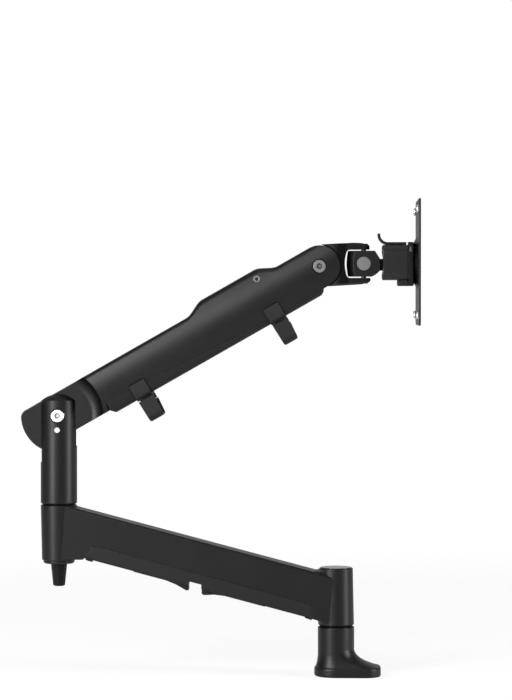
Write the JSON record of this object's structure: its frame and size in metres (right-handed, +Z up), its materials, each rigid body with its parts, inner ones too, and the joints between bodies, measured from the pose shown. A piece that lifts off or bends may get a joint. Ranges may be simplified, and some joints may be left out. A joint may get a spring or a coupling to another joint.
{
  "type": "monitor arm",
  "caption": "Desk-post monitor arm: swivelling lower beam, forked elbow post, spring-balanced upper arm, levelling head with pan, tilt and a square screen plate.",
  "frame": {"origin": "on the base post's axis, at the underside of the foot, at the mouth of its threaded hole", "axes": "+X from the base towards the screen, +Y across the arm, +Z up"},
  "size_m": [0.3823, 0.12, 0.4568],
  "materials": {
    "powder_black": "fine satin black powder coat",
    "cap_grey": "satin dark grey cap",
    "black_plastic": "black moulded plastic, light grain",
    "bright_steel": "bright turned steel",
    "satin_steel": "satin steel",
    "rubber_pad": "soft black rubber",
    "bearing_plastic": "self-lubricating bearing plastic",
    "strut_black": "black enamel tube",
    "cast_zinc": "die-cast metal"
  },
  "bodies": {
    "base": {"base_foot": "powder_black", "base_pad": "rubber_pad", "base_spindle": "bright_steel", "base_washer": "bearing_plastic", "base_retainer": "bright_steel"},
    "lower_arm": {"lower_arm_casting": "powder_black", "lower_arm_cover": "black_plastic", "cable_lip_outer": "black_plastic", "cable_lip_inner": "black_plastic", "base_bushes": "bearing_plastic", "elbow_bushes": "bearing_plastic", "base_hub_cap": "cap_grey"},
    "elbow": {"elbow_post": "powder_black", "elbow_spindle": "bright_steel", "elbow_collar": "powder_black", "elbow_washer": "bearing_plastic", "pivot_bolt": "bright_steel", "pivot_nut": "bright_steel", "link_pin": "bright_steel", "lift_cam": "bright_steel"},
    "knob": {"elbow_knob": "black_plastic"},
    "upper_arm": {"upper_housing": "powder_black", "under_cover": "black_plastic", "tail_bushes": "bearing_plastic", "strut_cylinder": "strut_black", "strut_anchor": "cast_zinc", "tension_screw": "bright_steel", "anchor_bolt": "bright_steel", "clip_saddle_1": "black_plastic", "clip_saddle_2": "black_plastic", "clip_pins": "bright_steel", "head_bolt": "bright_steel", "head_nut": "bright_steel"},
    "slider": {"cam_slider": "cast_zinc", "strut_rod": "bright_steel", "roller_pin": "bright_steel"},
    "roller": {"cam_roller": "bright_steel"},
    "link": {"link_plates": "bright_steel"},
    "clip_gate_1": {"clip_gate_1": "black_plastic"},
    "clip_gate_2": {"clip_gate_2": "black_plastic"},
    "yoke": {"head_yoke": "powder_black", "yoke_link_pin": "bright_steel", "pan_pins": "bright_steel"},
    "swivel": {"swivel_block": "powder_black", "tilt_pin": "satin_steel"},
    "tilt_head": {"screen_head": "powder_black", "lever_pin": "bright_steel", "quick_release": "powder_black", "latch_bar": "bright_steel"},
    "lever": {"latch_lever": "black_plastic"},
    "plate": {"screen_plate": "powder_black", "screen_spindle": "bright_steel", "screen_spacer": "bearing_plastic"}
  },
  "joints": [
    {"name": "base_swivel", "type": "hinge", "parent": "base", "child": "lower_arm", "pos_m": [0, 0, 0.0484], "axis": [0, 0, 1], "range_deg": [-180, 180]},
    {"name": "elbow_swivel", "type": "hinge", "parent": "lower_arm", "child": "elbow", "pos_m": [-0.267, 0, 0.164], "axis": [0, 0, 1], "range_deg": [-170, 170]},
    {"name": "knob_turn", "type": "hinge", "parent": "elbow", "child": "knob", "pos_m": [-0.267, 0, 0.1075], "axis": [0, 0, 1], "range_deg": [-180, 180]},
    {"name": "arm_lift", "type": "hinge", "parent": "elbow", "child": "upper_arm", "pos_m": [-0.267, 0, 0.25], "axis": [0, -1, 0], "range_deg": [-49.7, 5.3]},
    {"name": "link_swing", "type": "hinge", "parent": "elbow", "child": "link", "pos_m": [-0.267, 0, 0.2364], "axis": [0, -1, 0], "range_deg": [-50.7, 6.3]},
    {"name": "strut_travel", "type": "slide", "parent": "upper_arm", "child": "slider", "axis": [0.8686, 0, 0.4955], "range_m": [-0.0012, 0.0084]},
    {"name": "roller_spin", "type": "hinge", "parent": "slider", "child": "roller", "pos_m": [-0.25086, 0, 0.26611], "axis": [0, 1, 0], "continuous": true},
    {"name": "clip_gate_1_swing", "type": "hinge", "parent": "upper_arm", "child": "clip_gate_1", "pos_m": [-0.18121, 0.0176, 0.26509], "axis": [0.8686, 0, 0.4955], "range_deg": [0, 95]},
    {"name": "clip_gate_2_swing", "type": "hinge", "parent": "upper_arm", "child": "clip_gate_2", "pos_m": [-0.05308, 0.0176, 0.33817], "axis": [0.8686, 0, 0.4955], "range_deg": [0, 95]},
    {"name": "head_level", "type": "hinge", "parent": "upper_arm", "child": "yoke", "pos_m": [-0.01597, 0, 0.39319], "axis": [0, -1, 0], "range_deg": [-6.3, 50.7]},
    {"name": "head_pan", "type": "hinge", "parent": "yoke", "child": "swivel", "pos_m": [0.02634, 0, 0.39579], "axis": [0, 0, 1], "range_deg": [-75, 75]},
    {"name": "head_tilt", "type": "hinge", "parent": "swivel", "child": "tilt_head", "pos_m": [0.02634, 0, 0.39579], "axis": [0, -1, 0], "range_deg": [-25, 25]},
    {"name": "plate_turn", "type": "hinge", "parent": "tilt_head", "child": "plate", "pos_m": [0.07383, 0, 0.39679], "axis": [1, 0, 0], "range_deg": [-90, 90]},
    {"name": "latch_lift", "type": "hinge", "parent": "tilt_head", "child": "lever", "pos_m": [0.06463, 0, 0.41229], "axis": [0, 1, 0], "range_deg": [0, 15], "stiffness_Nm_per_rad": 0.2, "springref_deg": -17.19}
  ],
  "couplings": [
    {"joint": "link_swing", "follows": "arm_lift", "ratio": 1},
    {"joint": "strut_travel", "follows": "arm_lift", "m_per_rad": -0.009},
    {"joint": "head_level", "follows": "arm_lift", "ratio": -1}
  ]
}
